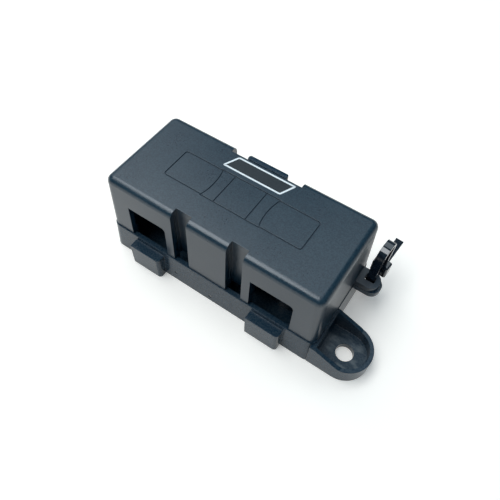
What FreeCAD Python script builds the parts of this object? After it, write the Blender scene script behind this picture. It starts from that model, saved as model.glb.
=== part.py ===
import FreeCAD, Part
import math
import os
import re

import Sketcher
from FreeCAD import Placement, Rotation, Vector

# A closed holder for one bolt-down high-current fuse with studs 51.8 mm apart.
# A glossy moulded base stands on the floor and carries two studs with their nuts, the fuse,
# two cable ledges and two mounting ears. A ribless box-shaped cover sits on its rim.
# A cable tie through an eye of the base and an eye of the cover keeps the two together.
#
# Frame: origin on the floor at the middle of the box, X along the box towards the tie,
# Y from the cable side (front) to the latch side (back), Z up. Millimetres.

SIZES = [
    # Moulded base
    ("end_room", 10.7, "from each end of the fuse to the outside of the base at the floor"),
    ("base_depth", 42.3, "outside depth of the base at the floor"),
    ("base_draft", 3.0, "lean of the outer base walls in degrees"),
    ("base_corner", 3.4, "radius of the upright base corners"),
    ("rim_height", 12.7, "height of the base rim, where the cover sits"),
    ("base_floor", 2.6, "thickness of the base floor"),
    ("base_wall", 1.9, "thickness of the base walls at the rim"),
    ("cavity_corner", 1.8, "radius of the upright corners inside the base"),
    # Ledges under the cables
    ("ledge_width", 13.2, "width of each cable ledge"),
    ("ledge_reach", 3.1, "how far a ledge stands out from the foot of the wall"),
    ("ledge_height", 10.8, "height of the ledge tops"),
    ("ledge_corner", 1.3, "radius of the upright outer corner of a ledge"),
    # Studs and fuse
    ("stud_spacing", 51.8, "distance between the two studs"),
    ("boss_diameter", 19.0, "diameter of the bosses under the terminals"),
    ("boss_height", 10.0, "height of the boss tops above the floor"),
    ("stud_diameter", 8.0, "thread diameter of the studs"),
    ("stud_room", 5.1, "room between the tip of a stud and the ceiling of the cover"),
    ("hex_width", 13.0, "width across flats of the stud heads and nuts"),
    ("head_height", 5.3, "height of a stud head"),
    ("head_sink", 0.4, "how far a stud head lies inside the foot face"),
    ("hex_play", 0.15, "gap round a stud head in its pocket"),
    ("stud_play", 0.2, "gap round a stud in its boss and its washers"),
    ("nut_height", 6.5, "height of a nut"),
    ("washer_diameter", 16.0, "diameter of a flat washer"),
    ("washer_height", 1.6, "thickness of a flat washer"),
    ("spring_diameter", 14.8, "diameter of a spring washer"),
    ("spring_height", 2.0, "thickness of a spring washer"),
    ("spring_split", 1.0, "width of the split in a spring washer"),
    ("fuse_length", 68.6, "length of the fuse strip"),
    ("fuse_width", 16.1, "width of the fuse strip"),
    ("strip_height", 1.6, "thickness of the fuse strip"),
    ("neck_width", 4.0, "width of the fuse strip where it melts"),
    ("neck_length", 12.0, "length of the narrow part of the strip"),
    ("case_length", 29.8, "length of the fuse case at its corners"),
    ("case_bow", 2.1, "how far the ends of the fuse case curve inwards"),
    ("case_width", 15.2, "depth of the fuse case"),
    ("case_half", 4.4, "height of the fuse case above and below the strip"),
    ("case_hollow", 3.0, "height of the arc chamber above and below the strip"),
    ("chamber_length", 16.0, "length of the arc chamber"),
    ("chamber_width", 9.0, "depth of the arc chamber"),
    ("blade_corner", 2.5, "radius of the corners of the fuse blades"),
    ("tip_bevel", 0.8, "bevel at the tip of a stud"),
    ("nut_bevel", 0.5, "bevel of a nut, along its axis"),
    ("nut_round", 14.8, "diameter of the round that bevels a nut"),
    # Mounting ears
    ("ear_out", 8.2, "mounting hole, distance beyond the end of the base"),
    ("ear_hole_y", 11.8, "mounting hole, distance across the box from its middle"),
    ("ear_hole", 6.5, "diameter of the mounting holes"),
    ("ear_radius", 9.2, "radius of the ear round its hole"),
    ("ear_wall", 1.4, "thickness of the raised edge of an ear"),
    ("ear_edge", 7.4, "height of the raised edge round the hole"),
    ("ear_root", 11.3, "height of the raised edge where it leaves the box"),
    ("ear_slope", 10.0, "length of the sloping part of the raised edge"),
    # Latch
    ("latch_width", 16.2, "width of the latch finger"),
    ("latch_thick", 1.3, "thickness of the latch finger"),
    ("latch_back", 18.4, "outer face of the latch finger, across the box"),
    ("latch_round", 0.8, "radius of the upright corners of the latch finger"),
    ("latch_drop", 0.2, "how far the latch finger stays below the cover top"),
    ("hook_reach", 0.6, "how far the hook stands in from the finger"),
    ("hook_height", 4.0, "height of the hook"),
    ("hook_lead", 1.2, "height of the slope on the hook's top"),
    ("catch_reach", 0.35, "how far the catch of the cover stands out"),
    ("catch_height", 2.2, "height of the catch"),
    ("latch_play", 0.15, "gap between hook and catch"),
    ("shelf_margin", 1.0, "how far the shelf under the latch runs beyond the recess"),
    # Eyes for the cable tie
    ("eye_y", 11.9, "middle of both eyes, across the box"),
    ("eye_width", 7.4, "width of both eyes"),
    ("eye_out", 8.0, "tip of the lower eye, distance beyond the end of the base"),
    ("eye_step", 1.0, "how far the tip of the upper eye stays behind the lower"),
    ("eye_corner", 3.5, "radius of the corners of the eyes"),
    ("eye_thick", 2.5, "thickness of the lower eye"),
    ("upper_eye_thick", 2.1, "thickness of the upper eye"),
    ("slot_play", 0.4, "gap between the tie and each end of a slot"),
    ("slot_front", 11.0, "front edge of the slots, across the box"),
    ("upper_slot", 2.4, "width of the slot in the upper eye"),
    ("lower_slot", 3.4, "width of the slot in the lower eye"),
    # Cover
    ("cover_set_x", 0.235, "how far the cover's ends stand inside the base rim"),
    ("cover_set_y", 0.435, "how far the cover's front and back stand inside the base rim"),
    ("cover_draft", 2.0, "lean of the cover walls in degrees"),
    ("cover_top", 37.8, "height of the cover top above the floor"),
    ("cover_wall", 2.0, "thickness of the cover walls"),
    ("cover_corner", 2.9, "radius of the upright cover corners"),
    ("cover_edge", 2.5, "radius of the top edges of the cover"),
    ("seam", 0.15, "gap between the base rim and the cover"),
    ("lip_height", 3.0, "how far the lip of the cover reaches into the base"),
    ("lip_thick", 1.2, "thickness of the lip"),
    ("lip_root", 3.0, "how far the lip runs up inside the cover wall"),
    ("lip_play", 0.25, "gap between the lip and the base walls"),
    ("window_width", 16.4, "width of the cable windows"),
    ("window_top", 27.4, "height of the top of the windows above the floor"),
    ("window_corner", 1.5, "radius of the rounded window corner"),
    ("groove_inner", 7.95, "inner side of the grooves from the middle of the box"),
    ("groove_width", 6.5, "width of the upright grooves"),
    ("groove_depth", 3.6, "depth of the grooves from the top edge of the front"),
    ("recess_width", 29.0, "width of the latch recess in the back"),
    ("recess_face", 16.0, "outer face of the recessed wall, across the box"),
    ("mark_line", 0.4, "width of the lines of the fuse outline in the top"),
    ("mark_depth", 0.25, "depth of the lines of the fuse outline"),
    ("mark_length", 55.2, "length of the fuse outline"),
    ("mark_width", 13.2, "width of the blades in the fuse outline"),
    ("mark_shift", 0.3, "middle of the fuse outline, across the box"),
    ("mark_corner", 1.2, "radius of the corners of the blades in the outline"),
    ("mark_case", 11.9, "half length of the fuse case in the outline at its corners"),
    ("mark_bow", 1.0, "how far the ends of the case curve inwards in the outline"),
    ("mark_step", 0.3, "how far the case is wider than the blades on each side"),
    ("mark_band", 6.4, "distance of the two lines on the case from its middle"),
    # Cable tie
    ("tie_width", 3.0, "width of the tie strap"),
    ("tie_thick", 1.1, "thickness of the tie strap"),
    ("tie_bend", 1.6, "radius of the bend of the tie above its head, along its middle"),
    ("tie_arch", 4.2, "radius of the arch of the front strand"),
    ("tie_crown_bend", 2.0, "radius of the bend at the back of the arch"),
    ("tie_soft_bend", 3.2, "radius of the bends of the tie at the eyes and at its tail"),
    ("tie_foot_bend", 1.3, "radius of the bend of the tie at the foot of its front strand"),
    ("tie_rear_bend", 1.1, "radius of the bend of the tie below its head"),
    ("tie_head_bend", 0.8, "radius of the bend of the tie into its head"),
    ("tie_out", 3.15, "middle of the front strand, distance beyond the end of the base"),
    ("tie_y", 12.4, "middle of the strap in the slots, across the box"),
    ("tie_lean", 14.0, "lean of the front strand from upright in degrees"),
    ("tie_crest", 27.3, "height of the top of the arch, to the strap's middle"),
    ("tie_back_y", 22.8, "back end of the arch before its bend, across the box"),
    ("tie_turn", 5.5, "turn of the whole tie about its front strand in degrees"),
    ("tie_low", 2.0, "height of the strap under the eyes, to its middle"),
    ("tie_kink", 6.5, "height where the strap starts to slant under the eyes"),
    ("tie_foot_y", 13.8, "front end of the strap under the eyes, across the box"),
    ("tie_rear_y", 17.0, "strap behind the eyes, across the box"),
    ("tie_head_front", 17.9, "front face of the tie head, across the box"),
    ("tie_head_foot", 10.7, "height of the underside of the tie head"),
    ("tie_head_width", 6.2, "width of the tie head"),
    ("tie_head_height", 6.0, "height of the tie head"),
    ("tie_head_depth", 4.0, "depth of the tie head"),
    ("tie_head_bevel", 0.5, "bevel of the tie head"),
    ("tie_pass", 3.7, "height of the strap in the head above its underside"),
    ("tie_pass_play", 0.25, "gap round the strap in the head"),
    ("tie_root", 0.9, "how far the root of the strap reaches into the head"),
    ("tie_tail", 10.3, "length of the cut tail behind the head"),
    ("tie_tail_tilt", 14.0, "rise of the cut tail in degrees"),
]

DOCUMENT = FreeCAD.newDocument("fuse_holder")
SHEET = DOCUMENT.addObject("Spreadsheet::Sheet", "Sizes")
TINY = 1e-6


def fill_sheet():
    """Write each driving size into the sheet as plain text with its alias."""
    for row, (alias, number, meaning) in enumerate(SIZES, 1):
        SHEET.set("A%d" % row, alias)
        SHEET.set("B%d" % row, str(number))
        SHEET.set("C%d" % row, meaning)
        SHEET.setAlias("B%d" % row, alias)
    DOCUMENT.recompute()


NAMES = {alias for alias, number, meaning in SIZES}


def tied(formula):
    """Return the formula with each size read from the sheet."""
    def linked(word):
        """Put the sheet before a name that stands in it."""
        name = word.group()
        return "Sizes." + name if name in NAMES else name

    return re.sub(r"[a-z_]+", linked, str(formula))


def size(formula):
    """Return the value of a formula of sizes."""
    value = SHEET.evalExpression(tied(formula))
    return float(getattr(value, "Value", value))


def new_body(label):
    """Start the body of one piece."""
    body = DOCUMENT.addObject("PartDesign::Body", label)
    body.Label = label
    return body


def sketch_on(body, name, plane, height="0"):
    """Start a sketch on an origin plane of the body, lifted along the plane's normal."""
    sketch = body.newObject("Sketcher::SketchObject", name)
    support = next(f for f in body.Origin.OriginFeatures if f.Role == plane)
    sketch.AttachmentSupport = [(support, "")]
    sketch.MapMode = "FlatFace"
    sketch.setExpression("AttachmentOffset.Base.z", tied(height))
    return sketch


def pin(sketch, kind, geometry, corner, formula):
    """Hold one coordinate of a point of the sketch at a formula of sizes."""
    rule = Sketcher.Constraint(kind, -1, 1, geometry, corner, size(formula))
    index = sketch.addConstraint(rule)
    sketch.setExpression("Constraints[%d]" % index, tied(formula))


def polygon(sketch, points):
    """Draw a closed outline through points, each held by two formulas."""
    places = [Vector(size(x), size(y), 0) for x, y in points]
    count = len(places)
    first = sketch.GeometryCount
    for number in range(count):
        following = places[(number + 1) % count]
        sketch.addGeometry(Part.LineSegment(places[number], following))
    for number in range(count):
        sketch.addConstraint(Sketcher.Constraint(
            "Coincident", first + number, 2, first + (number + 1) % count, 1))
    for number, (x, y) in enumerate(points):
        pin(sketch, "DistanceX", first + number, 1, x)
        pin(sketch, "DistanceY", first + number, 1, y)


def rectangle(sketch, left, right, front, back):
    """Draw a rectangle between four formulas."""
    polygon(sketch, [(left, front), (right, front), (right, back), (left, back)])


def circle(sketch, x, y, radius):
    """Draw a circle held by formulas."""
    centre = Vector(size(x), size(y), 0)
    number = sketch.addGeometry(Part.Circle(centre, Vector(0, 0, 1), size(radius)))
    pin(sketch, "DistanceX", number, 3, x)
    pin(sketch, "DistanceY", number, 3, y)
    index = sketch.addConstraint(Sketcher.Constraint("Radius", number, size(radius)))
    sketch.setExpression("Constraints[%d]" % index, tied(radius))


def feature(body, kind, name, sketch, length=None, reverse=False, both=False):
    """Add a pad or a pocket of a sketch, checked to change the solid."""
    before = body.Shape.Volume if body.Shape and not body.Shape.isNull() else 0.0
    made = body.newObject("PartDesign::" + kind, name)
    made.Profile = sketch
    made.Reversed = reverse
    made.Midplane = both
    if length is None:
        made.Type = "ThroughAll"
    else:
        made.setExpression("Length", tied(length))
    DOCUMENT.recompute()
    if abs(body.Shape.Volume - before) < TINY:
        raise RuntimeError("%s changes nothing in %s" % (name, body.Label))
    return made


def edges_of(shape, test):
    """Name the edges of a shape that pass a test."""
    return ["Edge%d" % number for number, edge in enumerate(shape.Edges, 1) if test(edge)]


def blend(body, kind, name, amount, test):
    """Round or bevel the edges of the body that pass a test."""
    base = body.Tip
    chosen = edges_of(base.Shape, test)
    if not chosen:
        raise RuntimeError("%s finds no edge in %s" % (name, body.Label))
    made = body.newObject("PartDesign::" + kind, name)
    made.Base = (base, chosen)
    made.setExpression("Radius" if kind == "Fillet" else "Size", tied(amount))
    DOCUMENT.recompute()
    return made


def runs_up(edge, limit=0.02):
    """Tell whether an edge is straight and nearly upright."""
    if len(edge.Vertexes) != 2:
        return False
    span = edge.Vertexes[1].Point - edge.Vertexes[0].Point
    straight = abs(span.Length - edge.Length) < TINY * 100
    return straight and span.Length > TINY and abs(span.z) / span.Length > 1 - limit


def beside(edge, x, y, slack=0.6):
    """Tell whether the middle of an edge is near a place seen from above."""
    middle = edge.CenterOfMass
    return abs(middle.x - x) < slack and abs(middle.y - y) < slack


def flat_side(face, half_x, half_y):
    """Tell whether a face is a plane upright side of a box with given half sizes."""
    if not isinstance(face.Surface, Part.Plane):
        return False
    normal = face.normalAt(0, 0)
    middle = face.CenterOfMass
    return (abs(normal.z) < TINY and (abs(abs(middle.x) - half_x) < 0.001
                                      or abs(abs(middle.y) - half_y) < 0.001))


def lean_in(body, name, angle, half_x, half_y, low, grows=False):
    """Give the upright sides of the last feature a draft, from a level face at a height.

    The solid loses material as its outer sides lean in, or gains it as those of a hollow do.
    """
    base = body.Tip
    faces = list(enumerate(base.Shape.Faces, 1))
    sides = ["Face%d" % number for number, face in faces
             if flat_side(face, size(half_x), size(half_y))]
    level = next("Face%d" % number for number, face in faces
                 if isinstance(face.Surface, Part.Plane)
                 and abs(face.BoundBox.ZLength) < TINY * 100
                 and abs(face.CenterOfMass.z - size(low)) < 0.001)
    made = body.newObject("PartDesign::Draft", name)
    made.Base = (base, sides)
    made.NeutralPlane = (base, [level])
    made.setExpression("Angle", tied(angle))
    before = body.Shape.Volume
    DOCUMENT.recompute()
    if (body.Shape.Volume > before) != grows:
        made.Reversed = True
        DOCUMENT.recompute()
    return made


def drafted_block(body, name, length, depth, low, high, draft):
    """Pad a rectangle that is length by depth at the height low, with sides that lean in."""
    sketch = sketch_on(body, name + "_outline", "XY_Plane", low)
    rectangle(sketch, "-(%s) / 2" % length, "(%s) / 2" % length,
              "-(%s) / 2" % depth, "(%s) / 2" % depth)
    feature(body, "Pad", name, sketch, "(%s) - (%s)" % (high, low))
    return lean_in(body, name + "_draft", draft, "(%s) / 2" % length, "(%s) / 2" % depth, low)


# Formulas that several pieces share
STUD_X = "stud_spacing / 2"
BASE_END = "(fuse_length / 2 + end_room)"
BASE_LEAN = "rim_height * tan(base_draft * 1 deg)"
BASE_INNER_X = "(%s - %s - base_wall)" % (BASE_END, BASE_LEAN)
BASE_INNER_Y = "(base_depth / 2 - %s - base_wall)" % BASE_LEAN
COVER_X = "(%s - %s - cover_set_x)" % (BASE_END, BASE_LEAN)
COVER_Y = "(base_depth / 2 - %s - cover_set_y)" % BASE_LEAN
COVER_FOOT = "(rim_height + seam)"
COVER_LEAN = "(cover_top - rim_height - seam) * tan(cover_draft * 1 deg)"
# Walls that stand inside the shell start in the thickness of its own wall
IN_WALL = "cover_wall * 1.5"
GROOVE_FACE = "(%s - %s - groove_depth)" % (COVER_Y, COVER_LEAN)
GROOVE_OUTER = "(groove_inner + groove_width)"
LIP_FOOT = "(rim_height - lip_height)"
STRIP_TOP = "(boss_height + strip_height)"
WASHER_TOP = "(boss_height + strip_height + washer_height)"
SPRING_TOP = "(boss_height + strip_height + washer_height + spring_height)"
STUD_TOP = "(cover_top - cover_wall - stud_room)"
EAR_X = "(%s + ear_out)" % BASE_END
SHELF_X = "(recess_width / 2 + shelf_margin)"
LATCH_TOP = "(cover_top - latch_drop)"
HOOK_FACE = "(latch_back - latch_thick - hook_reach)"
HOOK_FOOT = "(%s - hook_height)" % LATCH_TOP
EYE_FRONT = "(eye_y - eye_width / 2)"
EYE_BACK = "(eye_y + eye_width / 2)"
EYE_TIP = "(%s + eye_out)" % BASE_END
TIE_X = "(%s + tie_out)" % BASE_END
ROOT3 = math.sqrt(3)
CLEAR = 1.0


def upright_corners(body, name, radius, half_x, half_y, lean):
    """Round the four upright corners of a drafted block round the origin."""
    x = size("%s - (%s) / 2" % (half_x, lean))
    y = size("%s - (%s) / 2" % (half_y, lean))
    blend(body, "Fillet", name, radius, lambda edge: runs_up(edge) and any(
        beside(edge, a * x, b * y) for a in (1, -1) for b in (1, -1)))


def ear(body, side):
    """Add one mounting ear; side 1 is the front right one, -1 the back left one."""
    tag = "right" if side > 0 else "left"
    x_of = "%d * (%%s)" % side
    middle_x = x_of % EAR_X
    middle_y = "%d * ear_hole_y" % -side

    def solid(kind, name, height, radius, root, depth):
        """Pad or cut the web that joins the box to the hole, and the disc round the hole."""
        web = sketch_on(body, "%s_web_%s" % (name, tag), "XY_Plane", height)
        rectangle(web, x_of % root, middle_x, "%s - %s" % (middle_y, radius),
                  "%s + %s" % (middle_y, radius))
        feature(body, kind, "%s_web_%s_%s" % (name, kind.lower(), tag), web, depth)
        disc = sketch_on(body, "%s_disc_%s" % (name, tag), "XY_Plane", height)
        circle(disc, middle_x, middle_y, radius)
        feature(body, kind, "%s_disc_%s_%s" % (name, kind.lower(), tag), disc, depth)

    solid("Pad", "ear", "0", "ear_radius", BASE_END + " - base_wall", "ear_root")

    # The raised edge falls from the box to its lower height in a slope.
    slope = sketch_on(body, "ear_slope_%s" % tag, "XZ_Plane")
    beyond = x_of % ("%s + ear_radius + %s" % (EAR_X, CLEAR))
    foot = x_of % BASE_END
    polygon(slope, [(foot, "ear_root"),
                    (x_of % (BASE_END + " + ear_slope"), "ear_edge"),
                    (beyond, "ear_edge"),
                    (beyond, "ear_root + %s" % CLEAR),
                    (foot, "ear_root + %s" % CLEAR)])
    feature(body, "Pocket", "ear_slope_pocket_%s" % tag, slope, "base_depth * 2", both=True)

    solid("Pocket", "ear_well", "ear_root", "(ear_radius - ear_wall)", BASE_END,
          "ear_root - base_floor")
    bore = sketch_on(body, "ear_bore_%s" % tag, "XY_Plane", "base_floor + %s" % CLEAR)
    circle(bore, middle_x, middle_y, "ear_hole / 2")
    feature(body, "Pocket", "ear_bore_pocket_%s" % tag, bore, "base_floor + 2 * %s" % CLEAR)


def ledge(body, side):
    """Add the block that carries one cable in front of its window."""
    tag = "right" if side > 0 else "left"
    middle = "%d * %s" % (side, STUD_X)
    face = "-(base_depth / 2 + ledge_reach)"
    block = sketch_on(body, "ledge_%s" % tag, "XY_Plane")
    rectangle(block, "%s - ledge_width / 2" % middle, "%s + ledge_width / 2" % middle,
              face, "-%s - base_wall / 2" % BASE_INNER_Y)
    feature(body, "Pad", "ledge_pad_%s" % tag, block, "ledge_height")
    corner_x = size("%s + ledge_width / 2" % middle)
    corner_y = size(face)
    blend(body, "Fillet", "ledge_corner_%s" % tag, "ledge_corner",
          lambda edge: runs_up(edge) and beside(edge, corner_x, corner_y, 0.1))
    # Cored from below, as thick mouldings are.
    core = sketch_on(body, "ledge_core_%s" % tag, "XY_Plane")
    rectangle(core, "%s - ledge_width / 2 + base_wall" % middle,
              "%s + ledge_width / 2 - base_wall" % middle,
              face + " + base_wall", "-base_depth / 2")
    feature(body, "Pocket", "ledge_core_pocket_%s" % tag, core, "ledge_height - base_wall",
            reverse=True)


def stud_seat(body, side):
    """Add the boss under one terminal, with the hexagonal pocket that holds the stud head."""
    tag = "right" if side > 0 else "left"
    middle = "%d * %s" % (side, STUD_X)
    boss = sketch_on(body, "boss_%s" % tag, "XY_Plane")
    circle(boss, middle, "0", "boss_diameter / 2")
    feature(body, "Pad", "boss_pad_%s" % tag, boss, "boss_height")
    pocket = sketch_on(body, "boss_hex_%s" % tag, "XY_Plane")
    reach = "(hex_width / 2 + hex_play)"
    hexagon(pocket, middle, reach)
    feature(body, "Pocket", "boss_hex_pocket_%s" % tag, pocket, "head_height + head_sink",
            reverse=True)
    bore = sketch_on(body, "boss_bore_%s" % tag, "XY_Plane", "boss_height + %s" % CLEAR)
    circle(bore, middle, "0", "stud_diameter / 2 + stud_play")
    feature(body, "Pocket", "boss_bore_pocket_%s" % tag, bore, "boss_height + 2 * %s" % CLEAR)


def hexagon(sketch, middle, reach):
    """Draw a hexagon with flats left and right at a reach from its middle."""
    half = "%s / %.6f" % (reach, ROOT3)
    polygon(sketch, [("%s - %s" % (middle, reach), "-" + half),
                     (middle, "-2 * " + half),
                     ("%s + %s" % (middle, reach), "-" + half),
                     ("%s + %s" % (middle, reach), half),
                     (middle, "2 * " + half),
                     ("%s - %s" % (middle, reach), half)])


def eye(body, name, low, thick, tip, slot_width):
    """Add the eye for the cable tie: a round-ended tongue with a slot."""
    plate = sketch_on(body, name, "XY_Plane", low)
    rectangle(plate, BASE_INNER_X, tip, EYE_FRONT, EYE_BACK)
    feature(body, "Pad", name + "_pad", plate, thick)
    tip_x = size(tip)
    blend(body, "Fillet", name + "_corner", "eye_corner", lambda edge: runs_up(edge) and (
        beside(edge, tip_x, size(EYE_FRONT), 0.1) or beside(edge, tip_x, size(EYE_BACK), 0.1)))
    slot = sketch_on(body, name + "_slot", "XY_Plane", "%s + %s + %s" % (low, thick, CLEAR))
    rectangle(slot, TIE_X + " - tie_width / 2 - slot_play", TIE_X + " + tie_width / 2 + slot_play",
              "slot_front", "slot_front + " + slot_width)
    feature(body, "Pocket", name + "_slot_pocket", slot, "%s + 2 * %s" % (thick, CLEAR))


def latch_finger(body):
    """Add the shelf inside the back wall and the hooked finger that rises from it."""
    shelf = sketch_on(body, "latch_shelf", "XY_Plane")
    rectangle(shelf, "-" + SHELF_X, SHELF_X,
              "recess_face - cover_wall", BASE_INNER_Y + " + base_wall / 2")
    feature(body, "Pad", "latch_shelf_pad", shelf, "rim_height")
    profile = sketch_on(body, "latch_profile", "YZ_Plane")
    stem = "(latch_back - latch_thick)"
    polygon(profile, [(stem, "rim_height - base_wall"),
                      ("latch_back", "rim_height - base_wall"),
                      ("latch_back", LATCH_TOP),
                      (stem, LATCH_TOP),
                      (HOOK_FACE, LATCH_TOP + " - hook_lead"),
                      (HOOK_FACE, HOOK_FOOT),
                      (stem, HOOK_FOOT)])
    feature(body, "Pad", "latch_pad", profile, "latch_width", both=True)
    back = size("latch_back")
    half = size("latch_width / 2")
    blend(body, "Fillet", "latch_corner", "latch_round",
          lambda edge: runs_up(edge) and abs(edge.CenterOfMass.y - back) < TINY * 100
          and abs(abs(edge.CenterOfMass.x) - half) < TINY * 100)


def base_housing():
    """Model the base: tray, ledges, bosses, ears, latch finger and lower eye in one moulding."""
    body = new_body("base_housing")
    drafted_block(body, "tray", "2 * " + BASE_END, "base_depth", "0", "rim_height", "base_draft")
    upright_corners(body, "tray_corner", "base_corner", BASE_END, "base_depth / 2", BASE_LEAN)
    cavity = sketch_on(body, "cavity", "XY_Plane", "rim_height")
    rectangle(cavity, "-" + BASE_INNER_X, BASE_INNER_X, "-" + BASE_INNER_Y, BASE_INNER_Y)
    feature(body, "Pocket", "cavity_pocket", cavity, "rim_height - base_floor")
    upright_corners(body, "cavity_corner", "cavity_corner", BASE_INNER_X, BASE_INNER_Y, "0")
    latch_finger(body)
    for side in (1, -1):
        ledge(body, side)
        stud_seat(body, side)
        ear(body, side)
    eye(body, "lower_eye", "rim_height - eye_thick", "eye_thick", EYE_TIP, "lower_slot")
    return body


def window(body, side):
    """Cut one cable window, open at the foot of the cover."""
    tag = "right" if side > 0 else "left"
    middle = "%d * %s" % (side, STUD_X)
    hole = sketch_on(body, "window_%s" % tag, "XZ_Plane", "%s - lip_thick - %s"
                     % (BASE_INNER_Y, CLEAR))
    rectangle(hole, "%s - window_width / 2" % middle, "%s + window_width / 2" % middle,
              LIP_FOOT + " - %s" % CLEAR, "window_top")
    feature(body, "Pocket", "window_pocket_%s" % tag, hole, "cover_wall * 3", reverse=True)
    corner_x = size("%s + window_width / 2" % middle)
    corner_z = size("window_top")
    blend(body, "Fillet", "window_corner_%s" % tag, "window_corner",
          lambda edge: abs(edge.CenterOfMass.x - corner_x) < 0.01
          and abs(edge.CenterOfMass.z - corner_z) < 0.01)


def groove(body, side):
    """Box in one upright groove of the front and cut it, open at the top and the foot."""
    tag = "right" if side > 0 else "left"
    left, right = ("groove_inner", GROOVE_OUTER) if side > 0 else ("-" + GROOVE_OUTER,
                                                                   "-groove_inner")
    wall = sketch_on(body, "groove_wall_%s" % tag, "XY_Plane", COVER_FOOT)
    rectangle(wall, left + " - cover_wall", right + " + cover_wall",
              "-%s + %s" % (COVER_Y, IN_WALL), "-%s + cover_wall" % GROOVE_FACE)
    feature(body, "Pad", "groove_wall_pad_%s" % tag, wall, "cover_top - cover_wall / 2 - "
            + COVER_FOOT)
    channel = sketch_on(body, "groove_%s" % tag, "XY_Plane", "cover_top + %s" % CLEAR)
    rectangle(channel, left, right, "-%s - %s" % (COVER_Y, CLEAR), "-" + GROOVE_FACE)
    feature(body, "Pocket", "groove_pocket_%s" % tag, channel, "cover_top")


def latch_recess(body):
    """Box in the recess of the back wall, cut it, and add the catch for the finger's hook."""
    wall = sketch_on(body, "recess_wall", "XY_Plane", COVER_FOOT)
    rectangle(wall, "-recess_width / 2 - cover_wall", "recess_width / 2 + cover_wall",
              "recess_face - cover_wall", "%s - %s" % (COVER_Y, IN_WALL))
    feature(body, "Pad", "recess_wall_pad", wall, "cover_top - cover_wall / 2 - " + COVER_FOOT)
    recess = sketch_on(body, "recess", "XY_Plane", "cover_top + %s" % CLEAR)
    rectangle(recess, "-recess_width / 2", "recess_width / 2", "recess_face",
              "%s + %s" % (COVER_Y, CLEAR))
    feature(body, "Pocket", "recess_pocket", recess, "cover_top")
    # The lip stops short of the shelf that carries the finger.
    relief = sketch_on(body, "lip_relief", "XY_Plane", COVER_FOOT)
    rectangle(relief, "-%s - lip_play" % SHELF_X, "%s + lip_play" % SHELF_X,
              "recess_face - cover_wall - %s" % CLEAR, COVER_Y)
    feature(body, "Pocket", "lip_relief_pocket", relief, "lip_height + %s" % CLEAR)
    catch = sketch_on(body, "catch", "YZ_Plane")
    top = "(%s - latch_play)" % HOOK_FOOT
    polygon(catch, [("recess_face - cover_wall / 2", top + " - catch_height"),
                    ("recess_face", top + " - catch_height"),
                    ("recess_face + catch_reach", top + " - catch_height / 2"),
                    ("recess_face + catch_reach", top),
                    ("recess_face - cover_wall / 2", top)])
    feature(body, "Pad", "catch_pad", catch, "latch_width - cover_wall", both=True)


def bowed_outline(sketch, half, bow, front, back):
    """Draw a rectangle about X = 0 whose left and right sides curve inwards."""
    x = size(half)
    low = size(front)
    high = size(back)
    waist = x - size(bow)
    radius = "((%s) * (%s) / 4 + (%s) * (%s)) / (2 * (%s))" % (
        "%s - (%s)" % (back, front), "%s - (%s)" % (back, front), bow, bow, bow)
    middle = (low + high) / 2
    first = sketch.GeometryCount
    sketch.addGeometry(Part.LineSegment(Vector(-x, low, 0), Vector(x, low, 0)))
    sketch.addGeometry(Part.LineSegment(Vector(x, high, 0), Vector(-x, high, 0)))
    for sign, ends in ((1, ((first, 2), (first + 1, 1))), (-1, ((first + 1, 2), (first, 1)))):
        arc = sketch.addGeometry(Part.Arc(Vector(sign * x, low, 0),
                                          Vector(sign * waist, middle, 0),
                                          Vector(sign * x, high, 0)))
        for line, corner in ends:
            target = sketch.getPoint(line, corner)
            end = min((1, 2), key=lambda e: sketch.getPoint(arc, e).distanceToPoint(target))
            sketch.addConstraint(Sketcher.Constraint("Coincident", arc, end, line, corner))
        index = sketch.addConstraint(Sketcher.Constraint("Radius", arc, size(radius)))
        sketch.setExpression("Constraints[%d]" % index, tied(radius))
    for line, corner, sign, height in ((first, 1, "-", front), (first, 2, "", front),
                                       (first + 1, 1, "", back), (first + 1, 2, "-", back)):
        pin(sketch, "DistanceX", line, corner, "%s(%s)" % (sign, half))
        pin(sketch, "DistanceY", line, corner, height)


def fuse_mark(body):
    """Cut a fine outline of the fuse into the top: two blades, the case and two lines on it."""
    front = "mark_shift - mark_width / 2"
    back = "mark_shift + mark_width / 2"
    blades = sketch_on(body, "mark_blades", "XY_Plane", "cover_top")
    for side in (1, -1):
        tip = "%d * mark_length / 2" % side
        inner_tip = "%d * (mark_length / 2 - mark_line)" % side
        root = "%d * mark_case" % side
        polygon(blades, [(tip, front), (root, front), (root, front + " + mark_line"),
                         (inner_tip, front + " + mark_line"), (inner_tip, back + " - mark_line"),
                         (root, back + " - mark_line"), (root, back), (tip, back)])
    feature(body, "Pocket", "mark_blades_pocket", blades, "mark_depth")
    for name, inset in (("mark_outer_corner", "0"), ("mark_inner_corner", "mark_line")):
        x = size("mark_length / 2 - " + inset)
        low = size("%s + %s" % (front, inset))
        high = size("%s - %s" % (back, inset))
        blend(body, "Fillet", name, "mark_corner - " + inset, lambda edge: runs_up(edge) and any(
            beside(edge, sign * x, y, 0.05) for sign in (1, -1) for y in (low, high)))
    case = sketch_on(body, "mark_case", "XY_Plane", "cover_top")
    for inset in ("0", "mark_line"):
        bowed_outline(case, "mark_case - " + inset, "mark_bow",
                      "%s - mark_step + %s" % (front, inset), "%s + mark_step - %s" % (back, inset))
    feature(body, "Pocket", "mark_case_pocket", case, "mark_depth")
    bands = sketch_on(body, "mark_bands", "XY_Plane", "cover_top")
    for side in (1, -1):
        middle = "%d * mark_band" % side
        rectangle(bands, middle + " - mark_line / 2", middle + " + mark_line / 2",
                  front + " - mark_step + mark_line / 2", back + " + mark_step - mark_line / 2")
    feature(body, "Pocket", "mark_bands_pocket", bands, "mark_depth")


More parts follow.
